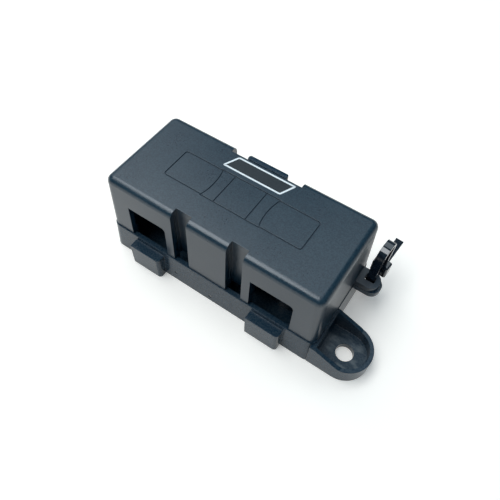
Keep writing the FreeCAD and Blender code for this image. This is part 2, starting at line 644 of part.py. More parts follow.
def cover():
    """Model the cover: a drafted shell with windows, grooves, recess, lip and upper eye."""
    body = new_body("cover")
    drafted_block(body, "shell", "2 * " + COVER_X, "2 * " + COVER_Y, COVER_FOOT, "cover_top",
                  "cover_draft")
    upright_corners(body, "shell_corner", "cover_corner", COVER_X, COVER_Y, COVER_LEAN)
    top = size("cover_top")
    blend(body, "Fillet", "shell_edge", "cover_edge",
          lambda edge: abs(edge.BoundBox.ZMin - top) < TINY * 100)
    inside = sketch_on(body, "inside", "XY_Plane", COVER_FOOT)
    rectangle(inside, "-%s + cover_wall" % COVER_X, "%s - cover_wall" % COVER_X,
              "-%s + cover_wall" % COVER_Y, "%s - cover_wall" % COVER_Y)
    feature(body, "Pocket", "inside_pocket", inside, "cover_top - cover_wall - " + COVER_FOOT,
            reverse=True)
    lean_in(body, "inside_draft", "cover_draft", COVER_X + " - cover_wall",
            COVER_Y + " - cover_wall", COVER_FOOT, grows=True)
    lip = sketch_on(body, "lip", "XY_Plane", LIP_FOOT)
    for inset in ("lip_play", "(lip_play + lip_thick)"):
        rectangle(lip, "-%s + %s" % (BASE_INNER_X, inset), "%s - %s" % (BASE_INNER_X, inset),
                  "-%s + %s" % (BASE_INNER_Y, inset), "%s - %s" % (BASE_INNER_Y, inset))
    feature(body, "Pad", "lip_pad", lip, "lip_height + seam + lip_root")
    upright_corners(body, "lip_corner", "cavity_corner", BASE_INNER_X + " - lip_play",
                    BASE_INNER_Y + " - lip_play", "0")
    for side in (1, -1):
        groove(body, side)
        window(body, side)
    latch_recess(body)
    fuse_mark(body)
    eye(body, "upper_eye", COVER_FOOT, "upper_eye_thick", EYE_TIP + " - eye_step", "upper_slot")
    return body


def primitive(kind, name, **formulas):
    """Add a Part primitive with its sizes held by formulas."""
    made = DOCUMENT.addObject("Part::" + kind, name)
    for key, formula in formulas.items():
        made.setExpression(key.replace("_", "."), tied(formula))
    return made


def cylinder(name, diameter, height, x, z):
    """Add an upright cylinder over a place on the X axis."""
    return primitive("Cylinder", name, Radius="(%s) / 2" % diameter, Height=height,
                     Placement_Base_x=x, Placement_Base_z=z)


def hex_prism(name, width, height, x, z):
    """Add an upright hexagonal prism with flats left and right."""
    made = primitive("Prism", name, Circumradius="%s / %.6f" % (width, ROOT3), Height=height)
    made.Placement = Placement(Vector(0, 0, 0), Rotation(Vector(0, 0, 1), 30))
    made.setExpression("Placement.Base.x", tied(x))
    made.setExpression("Placement.Base.z", tied(z))
    return made


def boolean(kind, label, base, tool):
    """Join, cut or intersect two objects."""
    made = DOCUMENT.addObject("Part::" + kind, label)
    made.Label = label
    made.Base = base
    made.Tool = tool
    DOCUMENT.recompute()
    return made


def stud(side):
    """Model one stud: a hexagonal head in the base and a shank with a bevelled tip."""
    tag = "right" if side > 0 else "left"
    middle = "%d * %s" % (side, STUD_X)
    head = hex_prism(tag + "_stud_head", "hex_width", "head_height", middle, "head_sink")
    shank = cylinder(tag + "_stud_shank", "stud_diameter", STUD_TOP + " - tip_bevel - head_sink",
                     middle, "head_sink")
    tip = primitive("Cone", tag + "_stud_tip", Radius1="stud_diameter / 2",
                    Radius2="stud_diameter / 2 - tip_bevel", Height="tip_bevel",
                    Placement_Base_x=middle,
                    Placement_Base_z=STUD_TOP + " - tip_bevel")
    shaft = boolean("Fuse", tag + "_stud_shaft", shank, tip)
    return boolean("Fuse", tag + "_stud", head, shaft)


def flat_washer(side):
    """Model one flat washer on the fuse strip."""
    tag = "right" if side > 0 else "left"
    middle = "%d * %s" % (side, STUD_X)
    disc = cylinder(tag + "_washer_disc", "washer_diameter", "washer_height", middle, STRIP_TOP)
    hole = cylinder(tag + "_washer_hole", "stud_diameter + 2 * stud_play", "washer_height * 3",
                    middle, STRIP_TOP + " - washer_height")
    return boolean("Cut", tag + "_flat_washer", disc, hole)


def spring_washer(side):
    """Model one spring washer, pressed flat, with its split."""
    tag = "right" if side > 0 else "left"
    middle = "%d * %s" % (side, STUD_X)
    disc = cylinder(tag + "_spring_disc", "spring_diameter", "spring_height", middle, WASHER_TOP)
    hole = cylinder(tag + "_spring_hole", "stud_diameter + 2 * stud_play", "spring_height * 3",
                    middle, WASHER_TOP + " - spring_height")
    ring = boolean("Cut", tag + "_spring_ring", disc, hole)
    split = primitive("Box", tag + "_spring_split", Length="spring_split",
                      Width="spring_diameter", Height="spring_height * 3",
                      Placement_Base_x=middle + " - spring_split / 2",
                      Placement_Base_z=WASHER_TOP + " - spring_height")
    return boolean("Cut", tag + "_spring_washer", ring, split)


def nut(side):
    """Model one nut with bevelled ends."""
    tag = "right" if side > 0 else "left"
    middle = "%d * %s" % (side, STUD_X)
    block = hex_prism(tag + "_nut_block", "hex_width", "nut_height", middle, SPRING_TOP)
    envelope = cylinder(tag + "_nut_round", "nut_round", "nut_height", middle, SPRING_TOP)
    bevelled = DOCUMENT.addObject("Part::Chamfer", tag + "_nut_bevel")
    bevelled.Base = envelope
    DOCUMENT.recompute()
    bevelled.Edges = [(1, size("nut_bevel"), size("nut_bevel") * 2),
                      (3, size("nut_bevel"), size("nut_bevel") * 2)]
    shape = boolean("Common", tag + "_nut_shape", block, bevelled)
    hole = cylinder(tag + "_nut_hole", "stud_diameter", "nut_height * 3", middle,
                    SPRING_TOP + " - nut_height")
    return boolean("Cut", tag + "_nut", shape, hole)


def fuse_strip():
    """Model the stamped fuse strip: two blades with holes and a narrow neck between them."""
    body = new_body("fuse_strip")
    blank = sketch_on(body, "blank", "XY_Plane", "boss_height")
    rectangle(blank, "-fuse_length / 2", "fuse_length / 2", "-fuse_width / 2", "fuse_width / 2")
    feature(body, "Pad", "blank_pad", blank, "strip_height")
    ends_x = size("fuse_length / 2")
    ends_y = size("fuse_width / 2")
    blend(body, "Fillet", "blade_corner", "blade_corner", lambda edge: runs_up(edge) and any(
        beside(edge, a * ends_x, b * ends_y, 0.1) for a in (1, -1) for b in (1, -1)))
    for side in (1, -1):
        hole = sketch_on(body, "hole_%d" % (side + 1), "XY_Plane", STRIP_TOP)
        circle(hole, "%d * %s" % (side, STUD_X), "0", "stud_diameter / 2 + stud_play")
        feature(body, "Pocket", "hole_pocket_%d" % (side + 1), hole)
        notch = sketch_on(body, "notch_%d" % (side + 1), "XY_Plane", STRIP_TOP)
        inner = "%d * neck_width / 2" % side
        outer = "%d * fuse_width" % side
        rectangle(notch, "-neck_length / 2", "neck_length / 2", inner, outer)
        feature(body, "Pocket", "notch_pocket_%d" % (side + 1), notch)
    return body


def fuse_case(label, low, chamber_low):
    """Model one half of the fuse case: bowed ends and an arc chamber open to the strip."""
    body = new_body(label)
    block = sketch_on(body, "block", "XY_Plane", low)
    rectangle(block, "-case_length / 2", "case_length / 2", "-case_width / 2", "case_width / 2")
    feature(body, "Pad", "block_pad", block, "case_half")
    radius = "((case_width * case_width / 4 + case_bow * case_bow) / (2 * case_bow))"
    for side in (1, -1):
        bow = sketch_on(body, "bow_%d" % (side + 1), "XY_Plane", low + " + case_half")
        circle(bow, "%d * (case_length / 2 - case_bow + %s)" % (side, radius), "0", radius)
        feature(body, "Pocket", "bow_pocket_%d" % (side + 1), bow, "case_half")
    chamber = sketch_on(body, "chamber", "XY_Plane", chamber_low + " + case_hollow")
    rectangle(chamber, "-chamber_length / 2", "chamber_length / 2",
              "-chamber_width / 2", "chamber_width / 2")
    feature(body, "Pocket", "chamber_pocket", chamber, "case_hollow")
    return body


def rounded_path(corners, radii):
    """Return the edges of an open path in the YZ plane with its inner corners rounded."""
    edges = []
    start = corners[0]
    for before, corner, after, radius in zip(corners, corners[1:], corners[2:], radii):
        inward = (before - corner).normalize()
        onward = (after - corner).normalize()
        half = inward.getAngle(onward) / 2
        setback = radius / math.tan(half)
        first = corner + inward * setback
        last = corner + onward * setback
        middle_way = (inward + onward).normalize()
        crown = corner + middle_way * (radius / math.sin(half) - radius)
        edges.append(Part.LineSegment(start, first).toShape())
        edges.append(Part.Arc(first, crown, last).toShape())
        start = last
    edges.append(Part.LineSegment(start, corners[-1]).toShape())
    return edges


def offset_corners(corners, distance):
    """Move a path in the YZ plane sideways by a distance, keeping its corners mitred."""
    moved = []
    ways = [(b - a).normalize() for a, b in zip(corners, corners[1:])]
    sides = [Vector(0, -way.z, way.y) for way in ways]
    for number, corner in enumerate(corners):
        first = sides[max(number - 1, 0)]
        second = sides[min(number, len(sides) - 1)]
        mitre = first + second
        moved.append(corner + mitre * (distance * 2 / mitre.dot(mitre)))
    return moved


def strap(corners, radii, thick, width):
    """Return a strap of a thickness and a width along a rounded path in the YZ plane."""
    ways = [b - a for a, b in zip(corners, corners[1:])]
    turns = [math.copysign(1, a.y * b.z - a.z * b.y) for a, b in zip(ways, ways[1:])]
    left = rounded_path(offset_corners(corners, thick / 2),
                        [r - turn * thick / 2 for r, turn in zip(radii, turns)])
    right = rounded_path(offset_corners(corners, -thick / 2),
                         [r + turn * thick / 2 for r, turn in zip(radii, turns)])
    caps = [Part.LineSegment(left[-1].Vertexes[-1].Point, right[-1].Vertexes[-1].Point).toShape(),
            Part.LineSegment(left[0].Vertexes[0].Point, right[0].Vertexes[0].Point).toShape()]
    outline = Part.Wire(Part.__sortEdges__(left + right + caps))
    face = Part.Face(outline)
    face.translate(Vector(-width / 2, 0, 0))
    return face.extrude(Vector(width, 0, 0))


def cable_tie():
    """Model the closed tie: a strap from the head through both eyes and back through the head.

    It is drawn in the YZ plane and then turned about its front strand.
    """
    lean = math.radians(size("tie_lean"))
    up = Vector(0, math.sin(lean), math.cos(lean))
    crest = size("tie_crest")
    soft = size("tie_soft_bend")
    thick = size("tie_thick")
    width = size("tie_width")
    knee = Vector(0, size("tie_y"), size("rim_height + seam + upper_eye_thick"))
    front_top = knee + up * ((crest - knee.z) / up.z)
    back_top = Vector(0, size("tie_back_y"), crest)
    foot = size("tie_low")
    head_front = size("tie_head_front")
    head_foot = size("tie_head_foot")
    head_height = size("tie_head_height")
    head_depth = size("tie_head_depth")
    root = Vector(0, head_front + head_depth / 2, head_foot + head_height)
    inside_head = root - Vector(0, 0, size("tie_root"))
    passing = head_foot + size("tie_pass")
    exit_point = Vector(0, head_front + head_depth, passing)
    tilt = math.radians(size("tie_tail_tilt"))
    tail_end = exit_point + Vector(0, math.cos(tilt), math.sin(tilt)) * size("tie_tail")
    corners = [
        inside_head,
        root,
        back_top,
        front_top,
        knee,
        Vector(0, size("tie_y"), size("tie_kink")),
        Vector(0, size("tie_foot_y"), foot),
        Vector(0, size("tie_rear_y"), foot),
        Vector(0, size("tie_rear_y"), passing),
        exit_point,
        tail_end,
    ]
    radii = [size("tie_bend"), size("tie_crown_bend"), size("tie_arch"), soft, soft,
             size("tie_foot_bend"), size("tie_rear_bend"), size("tie_head_bend"), soft]
    band = strap(corners, radii, thick, width)

    head_width = size("tie_head_width")
    block = Part.makeBox(head_width, head_depth, head_height,
                         Vector(-head_width / 2, head_front, head_foot))
    bevel = size("tie_head_bevel")
    block = block.makeChamfer(bevel, block.Edges)
    play = size("tie_pass_play")
    passage = Part.makeBox(width + 2 * play, head_depth + 2 * CLEAR, thick + 2 * play,
                           Vector(-width / 2 - play, head_front - CLEAR,
                                  passing - thick / 2 - play))
    # The pawl bears on the strap from above.
    pawl = Part.makeBox(width - 2 * play, head_depth / 3, play * 2,
                        Vector(-width / 2 + play, head_front + head_depth / 3,
                               passing + thick / 2 - play / 2))
    shape = block.cut(passage).fuse([band, pawl]).removeSplitter()
    shape.rotate(knee, up, -size("tie_turn"))
    shape.translate(Vector(size(TIE_X), 0, 0))
    made = DOCUMENT.addObject("Part::Feature", "cable_tie")
    made.Label = "cable_tie"
    made.Shape = shape
    return made


def check_document():
    """Stop if an object of the document failed."""
    for item in DOCUMENT.Objects:
        if "Invalid" in item.State or "Error" in item.State:
            raise RuntimeError("%s failed: %s" % (item.Name, item.State))


def write_parts(pieces):
    """Check each piece and write it to its STEP file."""
    os.makedirs("parts", exist_ok=True)
    for piece in pieces:
        shape = piece.Shape
        if shape.isNull() or not shape.isValid():
            raise RuntimeError("%s has no sound shape" % piece.Label)
        shape.exportStep("parts/%s.step" % piece.Label)
        box = shape.BoundBox
        print("%-18s solids %d volume %8.1f x %6.2f %6.2f y %6.2f %6.2f z %6.2f %6.2f" % (
            piece.Label, len(shape.Solids), shape.Volume, box.XMin, box.XMax, box.YMin,
            box.YMax, box.ZMin, box.ZMax))


def main():
    """Build every piece and write it."""
    fill_sheet()
    pieces = [base_housing(), cover()]
    for side in (1, -1):
        pieces += [stud(side), flat_washer(side), spring_washer(side), nut(side)]
    pieces.append(fuse_strip())
    pieces.append(fuse_case("fuse_case_lower", "(boss_height - case_half)",
                            "(boss_height - case_hollow)"))
    pieces.append(fuse_case("fuse_case_upper", STRIP_TOP, STRIP_TOP))
    pieces.append(cable_tie())
    DOCUMENT.recompute()
    check_document()
    write_parts(pieces)


main()
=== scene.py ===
import logging
import math
from dataclasses import dataclass, field
from enum import Enum
from typing import Any, Union

import bpy
from mathutils import Matrix, Vector


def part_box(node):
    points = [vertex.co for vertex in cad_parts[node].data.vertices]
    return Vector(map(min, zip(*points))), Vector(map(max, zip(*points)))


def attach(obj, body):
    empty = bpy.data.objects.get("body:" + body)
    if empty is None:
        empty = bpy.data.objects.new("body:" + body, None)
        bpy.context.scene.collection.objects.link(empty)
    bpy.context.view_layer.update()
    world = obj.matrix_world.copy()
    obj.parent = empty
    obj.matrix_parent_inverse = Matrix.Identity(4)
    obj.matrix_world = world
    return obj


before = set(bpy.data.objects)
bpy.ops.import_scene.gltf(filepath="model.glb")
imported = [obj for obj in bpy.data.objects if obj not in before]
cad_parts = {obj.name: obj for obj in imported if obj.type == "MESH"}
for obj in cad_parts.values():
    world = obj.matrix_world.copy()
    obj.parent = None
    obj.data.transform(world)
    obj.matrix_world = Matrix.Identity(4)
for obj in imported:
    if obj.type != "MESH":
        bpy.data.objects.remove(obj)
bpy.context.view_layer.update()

log = logging.getLogger("fuse_holder")

MM = 0.001
PHOTO_SIDE = 500

Number = Union[float, "Signal"]
Triple = tuple[float, float, float]
Colour = Triple

# Stretch that leaves a pattern as it is
EVEN: Triple = (1.0, 1.0, 1.0)

# Samples of a softened edge, middle value of a noise, and detail of a fine one
EDGE_SAMPLES = 6
NOISE_MIDDLE = 0.5
FINE_DETAIL = 3.0

# Numbers of the Mix node's colour sockets, whose names are not unique
MIX_LOW = 6
MIX_HIGH = 7
MIX_RESULT = 2


class Slot(Enum):
    """The record's material slots."""

    BASE = "base_plastic"
    COVER = "cover_plastic"
    TIE = "tie_plastic"
    STEEL = "plated_steel"
    FUSE_METAL = "fuse_metal"
    FUSE_CASE = "fuse_case"


class Body(Enum):
    """The bodies that a piece can ride on."""

    BASE = "base"
    LID = "lid"
    TIE = "tie"


class Signal:
    """A number in a shader, on which Python's operators add Math nodes."""

    def __init__(self, tree: "ShaderTree", socket: bpy.types.NodeSocket) -> None:
        """Wraps one output socket.

        Args:
            tree: the tree that the socket's node belongs to.
            socket: the output that carries the number.
        """
        self.tree = tree
        self.socket = socket

    def math(self, operation: str, first: Number, second: Number = 0.0, clamp: bool = False) -> "Signal":
        """Adds one Math node.

        Args:
            operation: the Math node's operation.
            first: its first value.
            second: its second value.
            clamp: whether the result is kept between 0 and 1.

        Returns:
            The node's result.
        """
        settings = {"operation": operation, "use_clamp": clamp}
        made = self.tree.node("ShaderNodeMath", settings, {0: first, 1: second})
        return Signal(self.tree, made.outputs[0])

    def __add__(self, other: Number) -> "Signal":
        """Returns self + other."""
        return self.math("ADD", self, other)

    def __radd__(self, other: float) -> "Signal":
        """Returns other + self."""
        return self.math("ADD", other, self)

    def __sub__(self, other: Number) -> "Signal":
        """Returns self - other."""
        return self.math("SUBTRACT", self, other)

    def __rsub__(self, other: float) -> "Signal":
        """Returns other - self."""
        return self.math("SUBTRACT", other, self)

    def __mul__(self, other: Number) -> "Signal":
        """Returns self * other."""
        return self.math("MULTIPLY", self, other)

    def __truediv__(self, other: Number) -> "Signal":
        """Returns self / other."""
        return self.math("DIVIDE", self, other)

    def clamped(self) -> "Signal":
        """Returns self kept between 0 and 1."""
        return self.math("ADD", self, 0.0, clamp=True)

    def above(self, level: float, spread: float) -> "Signal":
        """Makes a soft mask from a level.

        Args:
            level: the value at which the mask is one half.
            spread: how far on both sides of the level the mask takes to go from 0 to 1.

        Returns:
            The mask.
        """
        return ((self - (level - spread)) / (2.0 * spread)).clamped()

    def below(self, level: float, spread: float) -> "Signal":
        """Makes the opposite of above, with the same arguments.

        Args:
            level: the value at which the mask is one half.
            spread: how far on both sides of the level the mask takes to go from 1 to 0.

        Returns:
            The mask.
        """
        return 1.0 - self.above(level, spread)

    def size(self) -> "Signal":
        """Returns self without its sign."""
        return self.math("ABSOLUTE", self)


class ShaderTree:
    """A node tree that is being filled, with its one way of adding a node."""

    def __init__(self, tree: bpy.types.NodeTree) -> None:
        """Empties the tree.

        Args:
            tree: the node tree of a material, light or world.
        """
        self.tree = tree
        tree.nodes.clear()

    def node(
        self,
        kind: str,
        settings: dict[str, Any] | None = None,
        inputs: dict[str | int, Any] | None = None,
    ) -> bpy.types.Node:
        """Adds one node.

        Args:
            kind: the node's type.
            settings: its own settings.
            inputs: values, signals or sockets for its inputs, by name or number.

        Returns:
            The node.
        """
        made = self.tree.nodes.new(kind)
        for name, value in (settings or {}).items():
            setattr(made, name, value)
        for name, value in (inputs or {}).items():
            if isinstance(value, Signal):
                value = value.socket
            if isinstance(value, bpy.types.NodeSocket):
                self.tree.links.new(value, made.inputs[name])
            else:
                made.inputs[name].default_value = value
        return made

    def place(self, stretch: Triple = EVEN) -> bpy.types.NodeSocket:
        """Gives the point on the object that is shaded.

        Args:
            stretch: factors on x, y and z, for patterns that run along one way.

        Returns:
            A vector in metres, in the frame of the part.
        """
        point = self.node("ShaderNodeTexCoord").outputs["Object"]
        if stretch == EVEN:
            return point
        return self.node("ShaderNodeMapping", {}, {"Vector": point, "Scale": stretch}).outputs[0]

    def along_axes(self) -> tuple[Signal, Signal, Signal]:
        """Gives the shaded point's x, y and z in metres, in the frame of the part."""
        outputs = self.node("ShaderNodeSeparateXYZ", {}, {"Vector": self.place()}).outputs
        return tuple(Signal(self, outputs[axis]) for axis in "XYZ")

    def distance(self, point: Triple) -> Signal:
        """Measures how far the shaded point is from another.

        Args:
            point: the other point, in metres.

        Returns:
            The distance in metres.
        """
        away = self.node("ShaderNodeVectorMath", {"operation": "DISTANCE"}, {0: self.place(), 1: point})
        return Signal(self, away.outputs["Value"])

    def noise(self, grain: float, detail: float = 2.0, rough: float = 0.5, stretch: Triple = EVEN) -> Signal:
        """Adds a cloud pattern.

        Args:
            grain: size of one cloud, in metres.
            detail: how many finer layers it has.
            rough: how strong the finer layers are.
            stretch: factors on x, y and z.

        Returns:
            A number about 0.5 that swings between about 0.25 and 0.75.
        """
        inputs = {"Vector": self.place(stretch), "Scale": 1.0 / grain, "Detail": detail, "Roughness": rough}
        return Signal(self, self.node("ShaderNodeTexNoise", {}, inputs).outputs[0])

    def mix_colour(self, mask: Number, low: Any, high: Any) -> bpy.types.NodeSocket:
        """Mixes two colours.

        Args:
            mask: 0 gives low, 1 gives high.
            low: a colour or a colour socket.
            high: a colour or a colour socket.

        Returns:
            The mixed colour.
        """
        opaque = [(*c, 1.0) if isinstance(c, tuple) else c for c in (low, high)]
        inputs = {0: mask, MIX_LOW: opaque[0], MIX_HIGH: opaque[1]}
        return self.node("ShaderNodeMix", {"data_type": "RGBA"}, inputs).outputs[MIX_RESULT]

    def worn_edge(self, width: float) -> tuple[bpy.types.NodeSocket, Signal]:
        """Finds the part's edges.

        Args:
            width: how far from an edge the rounding reaches, in metres.

        Returns:
            The softened normal, and a mask that is 1 on an edge.
        """
        soft = self.node("ShaderNodeBevel", {"samples": EDGE_SAMPLES}, {"Radius": width}).outputs[0]
        sharp = self.node("ShaderNodeNewGeometry").outputs["Normal"]
        alike = self.node("ShaderNodeVectorMath", {"operation": "DOT_PRODUCT"}, {0: soft, 1: sharp})
        return soft, (1.0 - Signal(self, alike.outputs["Value"])).clamped()

    def relief(self, height: Signal, normal: bpy.types.NodeSocket) -> bpy.types.NodeSocket:
        """Turns a height into a normal.

        Args:
            height: of the surface, in metres.
            normal: of the surface without it.

        Returns:
            The normal of the surface with it.
        """
        inputs = {"Distance": 1.0, "Height": height, "Normal": normal}
        return self.node("ShaderNodeBump", {}, inputs).outputs[0]

    def surface(self, inputs: dict[str, Any]) -> None:
        """Ends a material in a Principled shader.

        Args:
            inputs: values, signals or sockets for its inputs.
        """
        shader = self.node("ShaderNodeBsdfPrincipled", {}, inputs).outputs[0]
        self.node("ShaderNodeOutputMaterial", {}, {"Surface": shader})


def new_material(name: str) -> tuple[bpy.types.Material, ShaderTree]:
    """Starts a material.

    Args:
        name: the material's name.

    Returns:
        The material and its empty tree.
    """
    material = bpy.data.materials.new(name)
    material.use_nodes = True
    return material, ShaderTree(material.node_tree)


@dataclass(frozen=True)
class Look:
    """What varies over a surface.

    Attributes:
        paleness: share of the paler colour, from 0 to 1; besides where the plastic looks drier, it carries
            the painted sheen on the base's ears, and the cover's lines lose it as painted shade.
        roughness: of the surface.
        height: of the surface, in metres.
    """

    paleness: Signal
    roughness: Signal
    height: Signal


@dataclass(frozen=True)
class MouldedPlastic:
    """A moulded plastic, with the fine grain of the mould's steel.

    Attributes:
        name: the material's name.
        deep: colour of the plastic.
        dry: colour where it looks drier, on rubbed edges, on specks of the grain and in weak clouds, and the
            colour of any painted sheen.
        roughness: of the even surface.
        roughness_swing: how much slow clouds and fine grain change it.
        grain: size of one grain of the texture, in metres.
        grain_depth: depth of the texture, in metres.
        edge: how far the softened edges reach, in metres.
        specular: the shader's specular level.
        grain_sharpness: how strong the finer layers of the grain are.
        cloud_size: size of one slow cloud, in metres.
        cloud_spread: how softly the clouds begin.
        speck_spread: how softly the specks of the grain begin.
        cloud_dryness: how dry a cloud looks.
        speck_dryness: how dry a speck looks.
        edge_dryness: how dry a rubbed edge looks.
    """

    name: str
    deep: Colour
    dry: Colour
    roughness: float
    roughness_swing: float
    grain: float
    grain_depth: float
    edge: float
    specular: float = 0.5
    grain_sharpness: float = 0.65
    cloud_size: float = 14 * MM
    cloud_spread: float = 0.22
    speck_spread: float = 0.10
    cloud_dryness: float = 0.15
    speck_dryness: float = 0.50
    edge_dryness: float = 0.45

    def make(self) -> bpy.types.Material:
        """Builds the material and returns it."""
        material, tree = new_material(self.name)
        rounded, edge = tree.worn_edge(self.edge)
        clouds = tree.noise(self.cloud_size, detail=FINE_DETAIL)
        grain = tree.noise(self.grain, detail=FINE_DETAIL, rough=self.grain_sharpness)
        cloudy = clouds.above(NOISE_MIDDLE, self.cloud_spread)
        speckled = grain.above(NOISE_MIDDLE, self.speck_spread)
        paleness = cloudy * self.cloud_dryness + speckled * self.speck_dryness + edge * self.edge_dryness
        roughness = self.roughness + (clouds + grain - 2 * NOISE_MIDDLE) * self.roughness_swing
        look = self.local_detail(tree, Look(paleness, roughness, grain * self.grain_depth))
        tree.surface(
            {
                "Base Color": tree.mix_colour(look.paleness.clamped(), self.deep, self.dry),
                "Roughness": look.roughness.clamped(),
                "Specular IOR Level": self.specular,
                "Normal": tree.relief(look.height, rounded),
            }
        )
        return material

    def local_detail(self, tree: ShaderTree, look: Look) -> Look:
        """Adds what only some places of a moulding have; a plain one has nothing.

        Args:
            tree: the material's tree.
            look: of the even surface.

        Returns:
            The look with the places' detail.
        """
        return look


@dataclass(frozen=True)
class HousingPlastic(MouldedPlastic):
    """The plastic of the base, with gate marks in its front wall and painted sheen, pale streaks that stand
    in for reflections, on the floor of its ears.

    Attributes:
        gates: middles of the gate marks.
        gate_size: radius of a gate mark, in metres.
        gate_depth: depth of a gate mark, in metres.
        ears: middles of the ears' holes, at the floor.
        sheen_reach: how far round a hole the painted sheen lies, in metres.
        sheen_top: height below which the painted sheen lies, in metres.
        sheen_size: width of a streak of painted sheen, in metres.
        sheen_stretch: factors that make the streaks of painted sheen run along x.
        sheen_level: level of the noise above which a streak of painted sheen is seen.
        sheen_spread: how softly a streak of painted sheen begins.
        reach_blend: how softly the painted sheen ends at its reach, in metres.
        top_blend: how softly it ends at its top, in metres.
        gloss: share of the even dryness that this glossy moulding shows.
    """

    gates: tuple[Triple, ...] = ((-14.0 * MM, -20.9 * MM, 4.5 * MM), (1.75 * MM, -21.0 * MM, 2.7 * MM))
    gate_size: float = 0.8 * MM
    gate_depth: float = 2.0 * MM
    ears: tuple[Triple, ...] = ((53.2 * MM, -11.8 * MM, 0.0), (-53.2 * MM, 11.8 * MM, 0.0))
    sheen_reach: float = 7.6 * MM
    sheen_top: float = 3.2 * MM
    sheen_size: float = 3.5 * MM
    sheen_stretch: Triple = (0.5, 1.0, 1.0)
    sheen_level: float = 0.56
    sheen_spread: float = 0.08
    reach_blend: float = 0.4 * MM
    top_blend: float = 0.1 * MM
    gloss: float = 0.5

    def local_detail(self, tree: ShaderTree, look: Look) -> Look:
        """Adds the gate marks and the painted sheen on the ears' floors.

        Args:
            tree: the material's tree.
            look: of the even surface.

        Returns:
            The look with the marks and sweeps.
        """
        height = look.height
        for gate in self.gates:
            height = height + (tree.distance(gate) / self.gate_size).clamped() * self.gate_depth
        # Painted sheen: pale streaks of the dry colour round each ear's hole, low on the ear's floor, stand
        # in for reflections on the glossy floor.
        _, _, z = tree.along_axes()
        noise = tree.noise(self.sheen_size, stretch=self.sheen_stretch)
        painted_sheen = noise.above(self.sheen_level, self.sheen_spread)
        low_painted_sheen = painted_sheen * z.below(self.sheen_top, self.top_blend)
        paleness = look.paleness * self.gloss
        for ear in self.ears:
            paleness = paleness + low_painted_sheen * tree.distance(ear).below(self.sheen_reach, self.reach_blend)
        return Look(paleness, look.roughness, height)


@dataclass(frozen=True)
class CoverPlastic(MouldedPlastic):
    """The plastic of the cover, rough in the lines cut into its top, with painted shade in them.

    Attributes:
        half_length: half the length of the zone with the lines, in metres.
        half_width: half the width of that zone, in metres.
        line_top: height below which a point of that zone is in a line, in metres.
        line_foot: height above which it is in a line and not inside the cover, in metres.
        line_blend: how softly a line begins and ends, in metres.
        line_roughness: what a line adds to the roughness.
        grained_from: height above which the grain has its full depth, in metres.
        grain_blend: how softly it gets there, in metres.
        wall_grain: share of the grain that the walls keep.
    """

    half_length: float = 28.6 * MM
    half_width: float = 7.9 * MM
    line_top: float = 37.74 * MM
    line_foot: float = 37.45 * MM
    line_blend: float = 0.02 * MM
    line_roughness: float = 0.35
    grained_from: float = 35.6 * MM
    grain_blend: float = 0.5 * MM
    wall_grain: float = 0.25

    def local_detail(self, tree: ShaderTree, look: Look) -> Look:
        """Makes the bottoms of the lines rough and darker, with painted shade, and the walls smoother than
        the top.

        Args:
            tree: the material's tree.
            look: of the even surface.

        Returns:
            The look with the lines and their painted shade.
        """
        x, y, z = tree.along_axes()
        in_length = x.size().below(self.half_length, self.line_blend)
        in_width = y.size().below(self.half_width, self.line_blend)
        sunk = z.below(self.line_top, self.line_blend) * z.above(self.line_foot, self.line_blend)
        in_shaded_line = in_length * in_width * sunk
        grained = z.above(self.grained_from, self.grain_blend) * (1.0 - self.wall_grain) + self.wall_grain
        # Painted shade: the lines lose the paler colour, so they show the deep one.
        paleness = look.paleness * (1.0 - in_shaded_line) * grained
        return Look(paleness, look.roughness + in_shaded_line * self.line_roughness, look.height * grained)


@dataclass(frozen=True)
class PlatedMetal:
    """A plated or brushed metal.

    Attributes:
        name: the material's name.
        bright: colour of the fresh plating.
        dull: colour of its duller clouds.
        roughness: of the even surface.
        brushed: stretch of the brush marks along x, y and z.
        thread_pitch: distance of the thread's turns in metres, 0 for none.
        thread_depth: depth of the thread, in metres.
        cloud_size: size of one dull cloud, in metres.
        cloud_level: level of the noise above which a cloud is dull.
        cloud_spread: how softly a cloud begins.
        stroke: width of one brush mark, in metres.
        stroke_depth: depth of the brush marks, in metres.
        stroke_swing: how much the brush marks change the roughness.
        edge: how far the softened edges reach, in metres.
        cloud_dullness: how dull a cloud looks.
        flat_dullness: how dull the flats look beside the rubbed edges.
        dull_roughness: what full dullness adds to the roughness.
        wave_unit: a wave texture's scale times its bands' distance.
    """

    name: str
    bright: Colour
    dull: Colour
    roughness: float
    brushed: Triple = EVEN
    thread_pitch: float = 0.0
    thread_depth: float = 0.0
    cloud_size: float = 4 * MM
    cloud_level: float = 0.55
    cloud_spread: float = 0.15
    stroke: float = 0.5 * MM
    stroke_depth: float = 0.01 * MM
    stroke_swing: float = 0.25
    edge: float = 0.2 * MM
    cloud_dullness: float = 0.7
    flat_dullness: float = 0.15
    dull_roughness: float = 0.08
    wave_unit: float = math.tau / 20

    def make(self) -> bpy.types.Material:
        """Builds the material and returns it."""
        material, tree = new_material(self.name)
        clouds = tree.noise(self.cloud_size, detail=FINE_DETAIL)
        strokes = tree.noise(self.stroke, stretch=self.brushed)
        rounded, edge = tree.worn_edge(self.edge)
        height = strokes * self.stroke_depth
        if self.thread_pitch:
            inputs = {"Vector": tree.place(), "Scale": self.wave_unit / self.thread_pitch}
            turns = tree.node("ShaderNodeTexWave", {"bands_direction": "Z", "wave_profile": "TRI"}, inputs)
            height = height + Signal(tree, turns.outputs["Fac"]) * self.thread_depth
        cloudy = clouds.above(self.cloud_level, self.cloud_spread)
        dullness = (cloudy * self.cloud_dullness + (1.0 - edge) * self.flat_dullness).clamped()
        swing = (strokes - NOISE_MIDDLE) * self.stroke_swing + dullness * self.dull_roughness
        tree.surface(
            {
                "Base Color": tree.mix_colour(dullness, self.bright, self.dull),
                "Metallic": 1.0,
                "Roughness": (self.roughness + swing).clamped(),
                "Normal": tree.relief(height, rounded),
            }
        )
        return material


